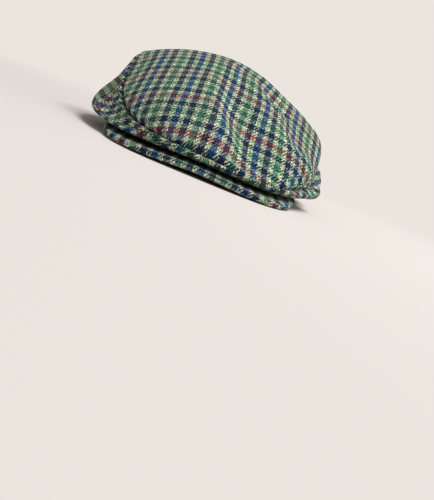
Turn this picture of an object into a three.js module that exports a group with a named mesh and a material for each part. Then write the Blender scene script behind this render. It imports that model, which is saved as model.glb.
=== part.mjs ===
// A soft wool flat cap: one oval top panel, two side panels that bulge over the rim and narrow to a low
// band across the front, and a short stiff peak that the crown nearly hides.
//
// Frame: millimetres, +Z up, the rim flat on the ground at z = 0. The wearer faces -Y, so the peak
// points to -Y and the wearer's left is +X. The sizes below are measured from the middle of the head,
// and the last lines move the finished cap so that the origin is under the middle of its box. Angles
// are degrees round the cap as seen from above, 0 at the front, 90 at the wearer's left, 180 at the back.

import * as THREE from 'three';

// ---------------------------------------------------------------- driving dimensions

const CLOTH = 2.0; // thickness of the wool with its facing
const SEAM_GAP = 0.3; // room between two panels that are sewn together
const PEAK_GAP = 0.5; // room between the rim and the peak, both of them faceted
const HEM_HEIGHT = 14; // height of the double turned hem inside the rim
const HEM_LEAN = 0.5; // how far the top of the hem leans outward
const CROWN_TOP = { x: -3, y: 24, z: 99.8 }; // highest point of the crown

const PEAK_THICKNESS = 4.6; // board with cloth on both faces
const PEAK_FRONT = -133; // y of the front edge of the peak
const PEAK_LEFT = 90; // reach of the peak's outline to the wearer's left
const PEAK_RIGHT = 87; // and to the right
const PEAK_SQUARENESS = 3.7; // exponent of the peak's outline, 2 is an ellipse
const PEAK_WIDEST = 25; // y where the peak's outline would be widest, as the rim's
const PEAK_TIP_ANGLE = 70; // the peak runs this far round the rim on each side
const PEAK_TIP_TAPER = 7; // how late the peak narrows towards its tips
const PEAK_TIP_ROOM = 2; // degrees past its tips at which the peak would have narrowed to nothing
const PEAK_CROWNING = 0.8; // rise of the peak's middle over its edges

const AROUND = 96; // steps round the crown
const PEAK_STEPS = 44; // steps along the peak
const PEAK_DEPTH_STEPS = 5; // steps from the rim to the edge of the peak
const EDGE_STEPS = 4; // steps round the rolled edge of the peak

// Directions in which the height of each ring is given.
const DIRECTIONS = [0, 30, 60, 90, 135, 180, 225, 270, 300, 330];

// Rings round the crown from the rim up. steps is the number of steps up to the next ring, left, right,
// front and back are reaches along the axes, widest is the y where the ring is widest, square is its
// squareness at the front, and heights has one z for each direction above. The side panels meet the
// top panel at the ring named seam.
const RINGS = [
  { name: 'rim inside', steps: 1, left: 79, right: 79, front: -72, back: 122, widest: 25, square: 2.2,
    heights: [0, 0, 0, 0, 0, 0, 0, 0, 0, 0] },
  { name: 'rim outside', steps: 1, left: 83, right: 83, front: -76, back: 126, widest: 25, square: 2.2,
    heights: [0, 0, 0, 0, 0, 0, 0, 0, 0, 0] },
  { name: 'stand', steps: 1, left: 83.2, right: 83.2, front: -76.2, back: 128, widest: 25, square: 2.2,
    heights: [8.6, 7, 8, 2.5, 1, 0.8, 1, 2.5, 8.6, 8.4] },
  { name: 'tuck', steps: 1, left: 96, right: 95, front: -99, back: 131.5, widest: 22, square: 2.2,
    heights: [10, 7.2, 8.6, 3, 1.8, 1.6, 1.8, 3, 9.6, 9] },
  { name: 'underside', steps: 2, left: 105, right: 102, front: -116, back: 135, widest: 19, square: 2.2,
    heights: [11.4, 7.4, 9.4, 7, 5, 6, 6, 8, 10.4, 10] },
  { name: 'bulge', steps: 2, left: 113.5, right: 111, front: -122.5, back: 137, widest: 18, square: 2.15,
    heights: [13.2, 10.8, 15, 22.5, 22, 24, 22, 23, 17.4, 13.8] },
  { name: 'side', steps: 2, left: 112.5, right: 99.5, front: -124, back: 133, widest: 18, square: 2.2,
    heights: [15, 13.6, 19, 32, 42, 50, 49, 47, 31, 18.5] },
  { name: 'seam', steps: 2, left: 103, right: 90, front: -123.5, back: 120, widest: 18, square: 2.35,
    heights: [17, 16.2, 23.5, 40, 62, 74, 74, 70, 46, 23] },
  { name: 'brow', steps: 3, left: 101.5, right: 84, front: -117, back: 113, widest: 18, square: 2.3,
    heights: [30, 27, 38, 58, 72, 82, 80, 74.5, 54, 37] },
  { name: 'slope', steps: 3, left: 81, right: 70, front: -90, back: 97, widest: 18, square: 2.2,
    heights: [55, 53, 59, 72.5, 83, 90.5, 88, 82.5, 70, 58] },
  { name: 'crest', steps: 3, left: 54, right: 48, front: -55, back: 75, widest: 18, square: 2.1,
    heights: [75, 74, 78, 84, 92, 96, 95, 91.5, 84.5, 77] },
  { name: 'top', steps: 3, left: 26, right: 25, front: -17, back: 50, widest: 20, square: 2,
    heights: [91, 90.3, 92.3, 95, 98, 99, 98.5, 97.5, 94.5, 91.8] },
];
const RIM = 1; // index of the ring at the foot of the hem
const TUCK = 3; // index of the ring where the cloth leaves the ground or the peak
const SEAM = 7; // index of the ring where the top panel starts
const BACK_SQUARENESS = 2.2; // exponent of every ring's back half

// Row of the crown's surface at a ring of the table.
const rowOf = (ring) => RINGS.slice(0, ring).reduce((sum, row) => sum + row.steps, 0);

// A fold swells along its line as part of a half sine wave, from START to START + SPAN of the wave.
const FOLD_START = 0.08;
const FOLD_SPAN = 0.9;
const FOLD_BLUNTNESS = 0.7; // under 1, the swell holds its height for longer

// Soft folds of the crown: a line over the cap as seen from above, its half width and its rise, which
// is negative in a hollow.
const FOLDS = [
  { name: 'centre ridge', halfWidth: 12, rise: 5.5,
    line: [[-12, -55], [-5, -76], [2, -92], [10, -104], [18, -112], [30, -117], [45, -118]] },
  { name: 'pocket', halfWidth: 17, rise: -8,
    line: [[14, -50], [22, -76], [33, -92], [52, -98]] },
  { name: 'left ridge', halfWidth: 12, rise: 5,
    line: [[20, -17], [37, -33], [51, -46], [63, -55], [72, -65], [84, -64]] },
];

// Shallow drapes that stand upright in the side panels, by angle round the cap and half width in degrees.
const DRAPES = [
  { angle: 63, halfWidth: 6, rise: 1.8 },
  { angle: 76, halfWidth: 5, rise: -2 },
  { angle: 99, halfWidth: 9, rise: 1.6 },
  { angle: 120, halfWidth: 8, rise: -1.8 },
  { angle: 149, halfWidth: 9, rise: 1.6 },
  { angle: 168, halfWidth: 6, rise: -1.2 },
  { angle: 205, halfWidth: 9, rise: -1.8 },
  { angle: 229, halfWidth: 9, rise: 1.8 },
  { angle: 252, halfWidth: 7, rise: -1.6 },
  { angle: 284, halfWidth: 7, rise: -1.4 },
  { angle: 301, halfWidth: 6, rise: 1.6 },
];

// Height of the peak's lower face at its edge, by angle round the cap. The first and last rows lie
// outside the peak and only shape the curve's ends.
const PEAK_EDGE = [
  { angle: -12, height: 1.6 },
  { angle: 0, height: 3 },
  { angle: 12, height: 1.6 },
  { angle: 24, height: 0.2 },
  { angle: 32, height: 0.6 },
  { angle: 42, height: 2 },
  { angle: 55, height: 2 },
  { angle: 70, height: 0.4 },
  { angle: 85, height: -1 },
];

// ---------------------------------------------------------------- curves

const radians = (degrees) => (degrees * Math.PI) / 180;

// Smooth value at a place between the knots, by a cubic whose slopes are the mean of its neighbours'.
function interpolate(knots, values, place) {
  let i = 1;
  while (i < knots.length - 3 && place > knots[i + 1]) i += 1;
  const slopeAt = (k) => {
    const before = knots[k] - knots[k - 1];
    const after = knots[k + 1] - knots[k];
    const riseBefore = (values[k] - values[k - 1]) / before;
    const riseAfter = (values[k + 1] - values[k]) / after;
    return (riseBefore * after + riseAfter * before) / (before + after);
  };
  const span = knots[i + 1] - knots[i];
  const s = (place - knots[i]) / span;
  const start = (1 + 2 * s) * (1 - s) ** 2 * values[i] + s * (1 - s) ** 2 * span * slopeAt(i);
  const end = s * s * (3 - 2 * s) * values[i + 1] + s * s * (s - 1) * span * slopeAt(i + 1);
  return start + end;
}

// Value all the way round from one value for each direction.
function around(values, angle) {
  const last = DIRECTIONS.length - 1;
  const knots = [DIRECTIONS[last] - 360, ...DIRECTIONS, 360, 360 + DIRECTIONS[1]];
  const looped = [values[last], ...values, values[0], values[1]];
  return interpolate(knots, looped, ((angle % 360) + 360) % 360);
}

// Point of a ring in one direction.
function ringPoint(ring, angle) {
  const s = Math.sin(radians(angle));
  const c = Math.cos(radians(angle));
  const halfWidth = s >= 0 ? ring.left : ring.right;
  const depth = c >= 0 ? ring.widest - ring.front : ring.back - ring.widest;
  const n = c >= 0 ? ring.square : BACK_SQUARENESS;
  const reach = (Math.abs(s / halfWidth) ** n + Math.abs(c / depth) ** n) ** (-1 / n);
  return new THREE.Vector3(s * reach, ring.widest - c * reach, around(ring.heights, angle));
}

// Distance from a point to a line of points, and how far along the line the nearest place is, 0 to 1.
function nearestOnLine(x, y, line) {
  let best = { distance: Infinity, along: 0 };
  let length = 0;
  for (let k = 0; k + 1 < line.length; k += 1) {
    const dx = line[k + 1][0] - line[k][0];
    const dy = line[k + 1][1] - line[k][1];
    const step = Math.hypot(dx, dy);
    const share = ((x - line[k][0]) * dx + (y - line[k][1]) * dy) / (step * step);
    const s = THREE.MathUtils.clamp(share, 0, 1);
    const distance = Math.hypot(x - line[k][0] - s * dx, y - line[k][1] - s * dy);
    if (distance < best.distance) best = { distance, along: length + s * step };
    length += step;
  }
  return { distance: best.distance, along: best.along / length };
}

// How far the cloth stands out from its plain form, from all the folds.
function foldRise(x, y) {
  let rise = 0;
  for (const fold of FOLDS) {
    const { distance, along } = nearestOnLine(x, y, fold.line);
    const fade = Math.sin(Math.PI * (FOLD_START + FOLD_SPAN * along)) ** FOLD_BLUNTNESS;
    rise += fold.rise * fade * Math.exp(-((distance / fold.halfWidth) ** 2));
  }
  return rise;
}

// How far a side panel stands out from its plain form, from all the drapes.
function drapeRise(angle) {
  return DRAPES.reduce((sum, drape) => {
    const away = (angle - drape.angle) / drape.halfWidth;
    return sum + drape.rise * Math.exp(-away * away);
  }, 0);
}

// ---------------------------------------------------------------- the crown's outer surface

// Rows of points from the rim to the top, each row a loop of AROUND points, with the outward normals.
function crownSurface() {
  const top = new THREE.Vector3(CROWN_TOP.x, CROWN_TOP.y, CROWN_TOP.z);
  const places = RINGS.flatMap((ring, i) => Array.from({ length: ring.steps }, (_, k) => i + k / ring.steps));
  places.push(RINGS.length);
  const rows = places.map(() => []);
  for (let j = 0; j < AROUND; j += 1) {
    const angle = (360 * j) / AROUND;
    const stations = RINGS.map((ring) => ringPoint(ring, angle));
    // The curve runs over the top to the opposite side, so that the crown is smooth there.
    stations.push(top, ringPoint(RINGS[RINGS.length - 1], angle + 180));
    const curve = new THREE.CatmullRomCurve3(stations, false, 'centripetal');
    places.forEach((place, i) => rows[i].push(curve.getPoint(place / (stations.length - 1))));
  }
  const plainNormals = surfaceNormals(rows);
  return rows.map((row, i) => row.map((point, j) => {
    const foldShare = THREE.MathUtils.smoothstep(places[i], SEAM - 1, SEAM + 1);
    const drapeShare = Math.sin(Math.PI * THREE.MathUtils.clamp((places[i] - TUCK) / (SEAM - TUCK), 0, 1));
    const rise = foldShare * foldRise(point.x, point.y) + drapeShare * drapeRise((360 * j) / AROUND);
    return point.clone().addScaledVector(plainNormals[i][j], rise);
  }));
}

function surfaceNormals(rows) {
  return rows.map((row, i) => row.map((point, j) => {
    const below = rows[Math.max(i - 1, 0)][j];
    const above = rows[Math.min(i + 1, rows.length - 1)][j];
    const before = row[(j + AROUND - 1) % AROUND];
    const after = row[(j + 1) % AROUND];
    const up = above.clone().sub(below);
    if (i === rows.length - 1) return new THREE.Vector3(0, 0, 1);
    return after.clone().sub(before).cross(up).normalize();
  }));
}

// ---------------------------------------------------------------- closed solids

// One closed body from a loop of sections: every section is a list of points, and all have the same
// count. A closed ring of sections needs no end faces; an open run gets them from its paired points.
function solidFromSections(sections, ring) {
  const size = sections[0].length;
  const positions = sections.flat().flatMap((p) => [p.x, p.y, p.z]);
  const faces = [];
  const quad = (a, b, c, d) => faces.push(a, b, c, a, c, d);
  const runs = ring ? sections.length : sections.length - 1;
  for (let j = 0; j < runs; j += 1) {
    const here = j * size;
    const next = ((j + 1) % sections.length) * size;
    for (let i = 0; i < size; i += 1) {
      const k = (i + 1) % size;
      quad(here + i, next + i, next + k, here + k);
    }
  }
  if (!ring) {
    const last = (sections.length - 1) * size;
    for (let i = 0; i + 1 < size / 2; i += 1) {
      const far = size - 1 - i;
      quad(i, i + 1, far - 1, far);
      quad(last + far, last + far - 1, last + i + 1, last + i);
    }
  }
  return geometryFrom(positions, faces);
}

function geometryFrom(positions, faces) {
  const geometry = new THREE.BufferGeometry();
  geometry.setAttribute('position', new THREE.Float32BufferAttribute(positions, 3));
  geometry.setIndex(faces);
  geometry.computeVertexNormals();
  return geometry;
}

const inward = (point, normal) => point.clone().addScaledVector(normal, -CLOTH);

// The two points of an edge at the seam, outside and inside, moved across it by half its gap: up into
// the top panel or down into the side panel.
function seamEdge(rows, normals, j, direction) {
  const i = rowOf(SEAM);
  const across = rows[i + 1][j].clone().sub(rows[i - 1][j]).setLength((direction * SEAM_GAP) / 2);
  const outside = rows[i][j].clone().add(across);
  return [outside, inward(outside, normals[i][j])];
}

// ---------------------------------------------------------------- pieces

// A side panel: from the hem at the rim, out under the bulge and up to the seam, over half the cap.
function sidePanel(rows, normals, sideways) {
  const sections = [];
  const seamRow = rowOf(SEAM);
  const rimRow = rowOf(RIM);
  for (let step = 0; step <= AROUND / 2; step += 1) {
    const j = sideways > 0 ? step : (AROUND - step) % AROUND;
    const outer = [rows[0][j]];
    const inner = [];
    for (let i = rimRow; i < seamRow; i += 1) outer.push(rows[i][j]);
    const [seamOutside, seamInside] = seamEdge(rows, normals, j, -1);
    outer.push(seamOutside);
    inner.push(seamInside);
    for (let i = seamRow - 1; i > rimRow; i -= 1) inner.push(inward(rows[i][j], normals[i][j]));
    const hemFoot = rows[rimRow][j];
    const hemInside = rows[0][j];
    const outwards = hemFoot.clone().sub(hemInside).setLength(HEM_LEAN);
    inner.push(new THREE.Vector3(hemFoot.x, hemFoot.y, HEM_HEIGHT));
    inner.push(new THREE.Vector3(hemInside.x + outwards.x, hemInside.y + outwards.y, HEM_HEIGHT));
    const section = [...outer, ...inner].map((p) => {
      const x = sideways > 0 ? Math.max(p.x, SEAM_GAP / 2) : Math.min(p.x, -SEAM_GAP / 2);
      return new THREE.Vector3(x, p.y, p.z);
    });
    sections.push(section);
  }
  if (sideways < 0) sections.reverse();
  return solidFromSections(sections, false);
}

// The top panel: a closed dome of cloth from the seam to the highest point.
function topPanel(rows, normals) {
  const seamRow = rowOf(SEAM);
  const topRow = rows.length - 1;
  const positions = [];
  const faces = [];
  const add = (p) => positions.push(p.x, p.y, p.z) / 3 - 1;
  const loops = [];
  for (let i = topRow - 1; i > seamRow; i -= 1) {
    loops.push(rows[i].map((p, j) => add(inward(p, normals[i][j]))));
  }
  const edges = rows[seamRow].map((_, j) => seamEdge(rows, normals, j, 1));
  loops.push(edges.map(([, inside]) => add(inside)));
  loops.push(edges.map(([outside]) => add(outside)));
  for (let i = seamRow + 1; i < topRow; i += 1) loops.push(rows[i].map((p) => add(p)));
  const under = add(rows[topRow][0].clone().setZ(rows[topRow][0].z - CLOTH));
  const over = add(rows[topRow][0]);
  for (let j = 0; j < AROUND; j += 1) {
    const k = (j + 1) % AROUND;
    for (let i = 0; i + 1 < loops.length; i += 1) {
      faces.push(loops[i][j], loops[i][k], loops[i + 1][j]);
      faces.push(loops[i][k], loops[i + 1][k], loops[i + 1][j]);
    }
    faces.push(under, loops[0][k], loops[0][j]);
    faces.push(over, loops[loops.length - 1][j], loops[loops.length - 1][k]);
  }
  return geometryFrom(positions, faces);
}

// The peak: a thin board under the crown, from the rim to a rolled edge in front of it.
function peak() {
  const ground = RINGS[RIM].heights;
  const outline = { left: PEAK_LEFT, right: PEAK_RIGHT, front: PEAK_FRONT, back: RINGS[RIM].back,
    widest: PEAK_WIDEST, square: PEAK_SQUARENESS, heights: ground };
  const knots = PEAK_EDGE.map((row) => row.angle);
  const heights = PEAK_EDGE.map((row) => row.height);
  const sections = [];
  for (let step = 0; step <= PEAK_STEPS; step += 1) {
    const angle = PEAK_TIP_ANGLE * ((2 * step) / PEAK_STEPS - 1);
    const rim = ringPoint(RINGS[RIM], angle);
    const edge = ringPoint(outline, angle);
    const outwards = edge.clone().sub(rim).normalize();
    const start = rim.clone().addScaledVector(outwards, PEAK_GAP);
    const full = edge.distanceTo(start);
    const narrowing = 1 - Math.abs(angle / (PEAK_TIP_ANGLE + PEAK_TIP_ROOM)) ** PEAK_TIP_TAPER;
    const depth = full * Math.sqrt(narrowing);
    const height = interpolate(knots, heights, Math.abs(angle));
    const at = (share, lift) => start.clone().addScaledVector(outwards, share * depth)
      .setZ(height + PEAK_CROWNING * Math.sin(Math.PI * share) + lift);
    const radius = PEAK_THICKNESS / 2;
    const flat = 1 - radius / depth;
    const section = [];
    for (let i = 0; i <= PEAK_DEPTH_STEPS; i += 1) section.push(at((flat * i) / PEAK_DEPTH_STEPS, 0));
    for (let i = 1; i < EDGE_STEPS; i += 1) {
      const turn = (Math.PI * i) / EDGE_STEPS;
      const point = at(flat, radius * (1 - Math.cos(turn)));
      section.push(point.addScaledVector(outwards, radius * Math.sin(turn)));
    }
    for (let i = PEAK_DEPTH_STEPS; i >= 0; i -= 1) {
      section.push(at((flat * i) / PEAK_DEPTH_STEPS, PEAK_THICKNESS));
    }
    sections.push(section);
  }
  return solidFromSections(sections, false);
}

// ---------------------------------------------------------------- assembly

const wool = (color) => new THREE.MeshStandardMaterial({ color, roughness: 0.95, metalness: 0 });

function piece(name, geometry, color) {
  const mesh = new THREE.Mesh(geometry, wool(color));
  mesh.name = name;
  return mesh;
}

const rows = crownSurface();
const normals = surfaceNormals(rows);

const cap = new THREE.Group();
cap.add(piece('top_panel', topPanel(rows, normals), 0x8f9f7d));
cap.add(piece('side_panel_left', sidePanel(rows, normals, 1), 0x85956f));
cap.add(piece('side_panel_right', sidePanel(rows, normals, -1), 0x85956f));
cap.add(piece('peak', peak(), 0x6f7d66));

// The origin lies under the middle of the cap's box, on the ground.
const box = new THREE.Box3().setFromObject(cap);
const middle = box.getCenter(new THREE.Vector3());
cap.position.set(-middle.x, -middle.y, -box.min.z);

export default cap;
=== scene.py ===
import math
from collections import namedtuple

import bpy
import numpy as np
from bpy.props import FloatProperty, FloatVectorProperty, IntProperty, PointerProperty
from mathutils import Matrix, Vector


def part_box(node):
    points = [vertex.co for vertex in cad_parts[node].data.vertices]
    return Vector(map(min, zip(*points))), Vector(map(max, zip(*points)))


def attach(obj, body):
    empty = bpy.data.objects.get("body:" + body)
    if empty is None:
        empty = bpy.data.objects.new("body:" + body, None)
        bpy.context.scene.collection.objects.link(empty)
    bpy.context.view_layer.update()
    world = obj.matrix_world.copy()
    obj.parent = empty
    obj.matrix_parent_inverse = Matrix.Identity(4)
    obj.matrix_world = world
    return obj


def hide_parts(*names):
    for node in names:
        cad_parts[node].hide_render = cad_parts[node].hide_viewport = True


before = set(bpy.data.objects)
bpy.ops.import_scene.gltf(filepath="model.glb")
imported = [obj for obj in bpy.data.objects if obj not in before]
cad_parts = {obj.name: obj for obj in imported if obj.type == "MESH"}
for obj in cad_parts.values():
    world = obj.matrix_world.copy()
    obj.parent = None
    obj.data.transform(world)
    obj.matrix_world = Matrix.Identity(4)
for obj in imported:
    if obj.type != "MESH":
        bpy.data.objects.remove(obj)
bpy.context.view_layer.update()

bl_info = {
    "name": "Flat Cap",
    "version": (1, 0, 0),
    "blender": (4, 5, 0),
    "location": "3D View > Sidebar > Flat Cap",
    "description": "Builds a soft wool flat cap in a gun club check, with its stage",
    "category": "Object",
}

# ------------------------ sizes, in millimetres

MM = 0.001  # metres in a millimetre
UP = np.array([0, 0, 1])
CLOTH = 1.5  # thickness of the wool with its facing
SEAM_GAP = 0.3  # room between two panels that are sewn together
EDGE_ROOM = 0.3  # how far the edge of a panel stays off the line of its seam
EDGE_FADE = 0.5  # how far from a seam its cloth is shifted to leave that room
PEAK_GAP = 0.5  # room between the rim and the peak
HEM_FOOT = 2.0  # height over the ground at which the turned hem inside the rim starts
HEM_HEIGHT = 14  # height of its upper edge
HEM_LEAN = 0.5  # how far that edge leans outward
CROWN_TOP = (-3, 24, 99.8)

# The peak's outline is that of a ring, of which it takes the front between two tips.
PEAK_THICKNESS = 4.6
PEAK_FRONT = -133
PEAK_LEFT = 90
PEAK_RIGHT = 87
PEAK_WIDEST = 25
PEAK_SQUARENESS = 3.7
PEAK_TIP_ANGLE = 70
PEAK_TIP_TAPER = 7  # how suddenly it narrows at a tip
PEAK_TIP_ROOM = 2  # how many degrees behind a tip it would come to nothing
PEAK_CROWNING = 0.8  # the rise between its two edges

# Directions round the cap in degrees from above, 0 at the front and 90 at the wearer's left, in which
# the height of each ring is given.
DIRECTIONS = (0, 30, 60, 90, 135, 180, 225, 270, 300, 330)

# Rings round the crown from the rim up: reaches along the axes, the y where the ring is widest, the
# squareness of its front half, and one height for each direction.
Ring = namedtuple("Ring", "name left right front back widest square heights")
RINGS = (
    Ring("rim inside", 79, 79, -72, 122, 25, 2.2, (0, 0, 0, 0, 0, 0, 0, 0, 0, 0)),
    Ring("rim outside", 83, 83, -76, 126, 25, 2.2, (0, 0, 0, 0, 0, 0, 0, 0, 0, 0)),
    Ring("stand", 83.2, 83.2, -76.2, 128, 25, 2.2, (8.6, 7, 8, 2.5, 1, 0.8, 1, 2.5, 8.6, 8.4)),
    Ring("tuck", 96, 95, -99, 131.5, 22, 2.2, (10, 8.2, 10.9, 5.4, 1.8, 1.6, 1.8, 4, 9, 8.6)),
    Ring("underside", 105, 102, -119, 135, 19, 2.2, (11, 8.5, 11.2, 8, 5, 6, 6, 9, 9.4, 8.6)),
    Ring("bulge", 113.5, 111, -125.5, 137, 18, 2.15,
         (12.4, 11.2, 16, 22.5, 22, 24, 22, 23, 14, 10.6)),
    Ring("side", 112.5, 99.5, -127, 133, 18, 2.2, (15, 13.6, 19, 32, 42, 50, 49, 47, 28, 15)),
    Ring("seam", 103, 90, -126, 120, 18, 2.35, (17.4, 16.2, 23.5, 40, 62, 74, 74, 70, 46, 23)),
    Ring("brow", 101.5, 84, -118.5, 113, 18, 2.3, (30, 27, 38, 58, 72, 82, 80, 74.5, 54, 37)),
    Ring("slope", 81, 70, -90, 97, 18, 2.2, (55, 53, 59, 72.5, 83, 90.5, 88, 82.5, 70, 58)),
    Ring("crest", 54, 48, -55, 75, 18, 2.1, (75, 74, 78, 84, 92, 96, 95, 91.5, 84.5, 77)),
    Ring("top", 26, 25, -17, 50, 20, 2, (91, 90.3, 92.3, 95, 98, 99, 98.5, 97.5, 94.5, 91.8)),
)
RIM_INSIDE, RIM, STAND, TUCK, UNDERSIDE, SEAM = 0, 1, 2, 3, 4, 7
POLE = len(RINGS)  # the place of the crown's top after the last ring
BACK_SQUARENESS = 2.2

# Not chosen by hand but made by fits outside this file, to stripes and an edge in the photo: FOLDS,
# the TOP_WARP values, WEFT_PLACES from -4 to 0, PULLS, SIDE_CHECKS and the degrees of GRAIN_TURNS.

# Soft folds of the crown: a half width, and a line over the cap as seen from above with its rise at
# each point, which is negative in a hollow.
Fold = namedtuple("Fold", "name half_width line")
Bend = namedtuple("Bend", "x y rise")
FOLDS = (
    Fold("centre ridge", 11.8, (
        Bend(-16, -55, 2), Bend(-7, -77, 3), Bend(-5, -96, 4), Bend(8, -109, 4.5), Bend(17, -112, 2),
        Bend(28, -116, -1.6), Bend(45, -116, -3.2))),
    Fold("pocket", 21.6, (
        Bend(9, -19, -2.7), Bend(9, -52, -5.2), Bend(17, -79, -10.8), Bend(34, -96, -12.6),
        Bend(52, -102, -7))),
    Fold("upper hollow", 19, (
        Bend(0, 3, -0.4), Bend(16, -9, -3), Bend(33, -14, -6), Bend(51, -14, -6.7), Bend(61, -21, -3.2))),
    Fold("left ridge", 14.3, (
        Bend(20, -19, 6.4), Bend(37, -32, 2.1), Bend(52, -46, -0.2), Bend(64, -50, -2.3),
        Bend(68, -68, 2.6), Bend(84, -64, 3.9))),
)

# Shallow drapes that stand upright in the side panels.
Drape = namedtuple("Drape", "angle half_width rise")
DRAPES = (
    Drape(63, 6, 1.8), Drape(76, 5, -2), Drape(99, 9, 1.6), Drape(120, 8, -1.8),
    Drape(149, 9, 1.6), Drape(168, 6, -1.2), Drape(205, 9, -1.8), Drape(229, 9, 1.8),
    Drape(252, 7, -1.6), Drape(284, 7, -1.4), Drape(301, 6, 1.6),
)

# Height of the peak's lower face at its edge.
PeakEdge = namedtuple("PeakEdge", "angle height")
PEAK_EDGE = (
    PeakEdge(-12, 1.6), PeakEdge(0, 3), PeakEdge(12, 1.6), PeakEdge(24, 0.2), PeakEdge(32, 0.6),
    PeakEdge(42, 2), PeakEdge(55, 2), PeakEdge(70, 0.4), PeakEdge(85, -1),
)

# How far the wearer's left end of the peak stands higher, and the angles over which it rises.
PEAK_LIFT = 0.9
PEAK_LIFT_SPAN = (25, 50)

# The tables count x and y from the middle of the head, which lies here in the frame.
HEAD_MIDDLE = Vector((
    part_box("side_panel_left")[0].x - SEAM_GAP / 2 * MM,
    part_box("peak")[0].y - PEAK_FRONT * MM,
    0.0,
))

# ------------------------ sizes of the finish

SEAM_DIP = 3.0  # how deep the cloth rolls in at a seam
SEAM_DIP_SHARE = 0.23  # the most of the height of the band below the seam that it dips
SEAM_ROLL = 1.5  # how far from the seam it does so
INNER_DIP = 0.65  # share of that dip on the inner face, so that the edge of the cloth is pressed thin
SEAM_SWELL = 0.5  # the rise over the turned allowances beside it
SEAM_ALLOWANCE = 6.0  # how far from the seam that rise ends
SWELL_SHARPNESS = 2.5  # how sharply it ends

# ------------------------ fineness of the meshes

# Places count rings from the rim's inside up. Rows crowd together in a band along each seam.
TOP_COLUMNS = 384
TOP_SEAM_ROWS = 25
TOP_SEAM_BAND = 0.6
TOP_SEAM_CROWDING = 1.5
TOP_ROWS = 62
SIDE_COLUMNS = 200
SIDE_FOOT = STAND - 0.6  # the place from which a side panel's surface rises
SIDE_FOOT_ROWS = 12
SIDE_ROWS = 26
SIDE_SEAM_ROWS = 16
SIDE_SEAM_BAND = 0.5
SIDE_SEAM_CROWDING = 1.6
BACK_ROW = -6  # the row along which the way to the seam up the back is measured
RIM_ROUND_STEPS = 8
HEM_SHARES = np.linspace(0.2, 1, 6)  # where the hem has points, as shares of its height
PEAK_COLUMNS = 200
PEAK_ROWS = 24
PEAK_ROUND_STEPS = 12
FLOOR_SIDES = 128
TINY = 1e-6  # a length that counts as none

# ------------------------ how a panel is laid flat

FLAT_COLUMNS = 96  # columns of the coarse grid all round the cap
TOP_FLAT_ROWS = 16  # its rows from the seam to the last ring
POLE_FLAT_ROWS = 5  # and from there to the top of the crown
SIDE_FLAT_ROWS = 12
SIDE_FLAT_FOOT = UNDERSIDE - 0.5  # the place below which a side panel is straight
SIDE_FLAT_BEND = 1.2  # radians through which a side panel curves in the first guess
FLAT_PASSES = 1500
OVER_RELAXATION = 1.6

# ------------------------ the check and the wool

CLOTH_MAP = "cloth"  # where each point lies on the bolt of cloth, in repeats of the check
STRIPES = 4  # dyed stripes in one repeat
TWILL = 4  # threads in one repeat of the twill

TOP_WARP_REPEAT = 34.6
TOP_WARP_START = 3.7
WeftPlace = namedtuple("WeftPlace", "back repeats")
WEFT_PLACES = (
    WeftPlace(-234, -6), WeftPlace(-197, -5), WeftPlace(-159, -4), WeftPlace(-120.7, -3),
    WeftPlace(-78, -2), WeftPlace(-27.5, -1), WeftPlace(14, 0), WeftPlace(54, 1), WeftPlace(94, 2),
    WeftPlace(133, 3), WeftPlace(172, 4),
)

# Where the cloth is drawn aside into the folds: a place on the flat panel, the reach of the pull, and
# how far it draws the cloth across and along.
Pull = namedtuple("Pull", "aside back reach across along")
PULLS = (
    Pull(29, -40, 26, 4.4, 1.3), Pull(69, -89, 20, 2, 0.3), Pull(111, -89, 30, 1.8, -8.3),
    Pull(82, -129, 22, -2.8, -3.6), Pull(74, -167, 50, -10.7, -5.4),
)

# Where the check lies on the side panels: the middle of a blue and of a maroon stripe. One panel is
# cut the other way round, like a mirror image.
SideCheck = namedtuple("SideCheck", "name node side warp_start weft_start")
SIDE_CHECKS = (
    SideCheck("SidePanelLeft", "side_panel_left", 1, -153.6, 45.7),
    SideCheck("SidePanelRight", "side_panel_right", -1, 180.6, 53.0),
)

# How far the grain of a side panel turns along its seam, from upright at the front to along the rim.
GrainTurn = namedtuple("GrainTurn", "along degrees")
GRAIN_TURNS = (
    GrainTurn(-140, 0), GrainTurn(-100, -7), GrainTurn(-60, -18), GrainTurn(-20, -73), GrainTurn(60, -73),
)

# The middle of a blue and of a maroon stripe on the peak.
PEAK_WARP_START = 3.3
PEAK_WEFT_START = -121

FIBRE_SCALE = 1.7  # fineness of the fibres, in threads
FIBRE_DETAIL = 3.0
FIBRE_RELIEF = 0.6  # height of the fibres in heights of a thread
MOTTLE_SCALE = 0.07
DYE_ASIDE = (400.0, 0.0, 0.0)  # where the noise for the dye is read, far from that for the slubs
WOOL_ROUGHNESS = 0.95
WOOL_SPECULAR = 0.08
SHEEN_ROUGHNESS = 0.5

# ------------------------ sizes of the stage, in metres

FLOOR_RADIUS = 6.0
FLOOR_DROP = 0.0002  # how far the floor lies below the cap's rim
FLOOR_ROUGHNESS = 0.9
FADE_FROM = 0.12  # how far from the cap the floor starts to fade into the backdrop
FADE_TO = 0.75
LAMP_AIM = Vector((0, 0, 0.05))
SENSOR_WIDTH = 36.0  # in millimetres
NEAREST_SEEN = 0.01
Lamp = namedtuple("Lamp", "name place size")
KEY_LAMP = Lamp("Key light", (1.0, -0.15, 2.3), 1.4)
FILL_LAMP = Lamp("Fill light", (1.1, -0.6, 0.45), 0.9)


# ------------------------ curves

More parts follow.
